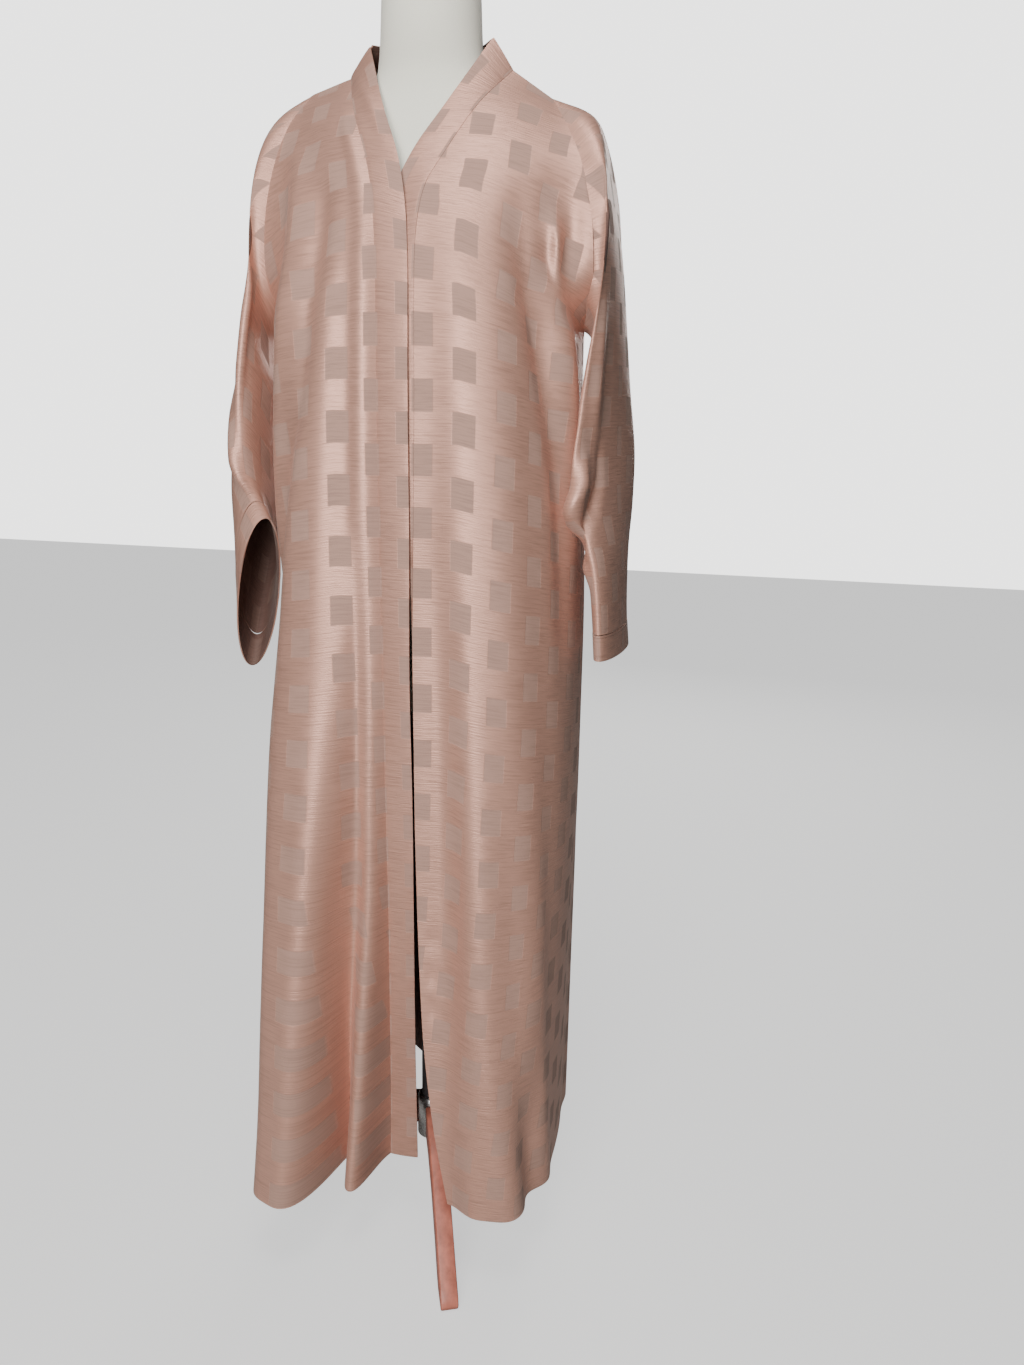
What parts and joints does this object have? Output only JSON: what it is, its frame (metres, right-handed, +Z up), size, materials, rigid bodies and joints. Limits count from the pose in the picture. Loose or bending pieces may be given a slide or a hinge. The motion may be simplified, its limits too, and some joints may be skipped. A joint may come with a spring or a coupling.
{
  "type": "abaya cloak on a dress form",
  "caption": "Open-front ankle-length abaya cloak in rose jacquard satin with front band and long sleeves, on a limbless dress form and tripod stand.",
  "frame": {"origin": "on the floor under the pole's axis, the bottom centre of the bounding box", "axes": "+Z up along the pole, the cloak's front faces -Y, +X towards the wearer's left"},
  "size_m": [0.5274, 0.4357, 1.64],
  "materials": {
    "cloak_satin": "satin with a woven pattern of matte rectangles",
    "band_satin": "satin, folded double",
    "form_cover": "smooth tight jersey",
    "cap": "matt",
    "pole_grey": "satin grey paint",
    "hub_metal": "bright",
    "leg_wood": "varnished"
  },
  "bodies": {
    "root": {"front_right": "cloak_satin", "front_left": "cloak_satin", "back": "cloak_satin", "sleeve_right": "cloak_satin", "sleeve_left": "cloak_satin", "cuff_right": "band_satin", "cuff_left": "band_satin", "band_right": "band_satin", "band_left": "band_satin", "band_neck": "band_satin", "form": "form_cover", "neck_cap": "cap", "pole": "pole_grey", "hub": "hub_metal", "leg_1": "leg_wood", "leg_2": "leg_wood", "leg_3": "leg_wood"}
  },
  "joints": []
}
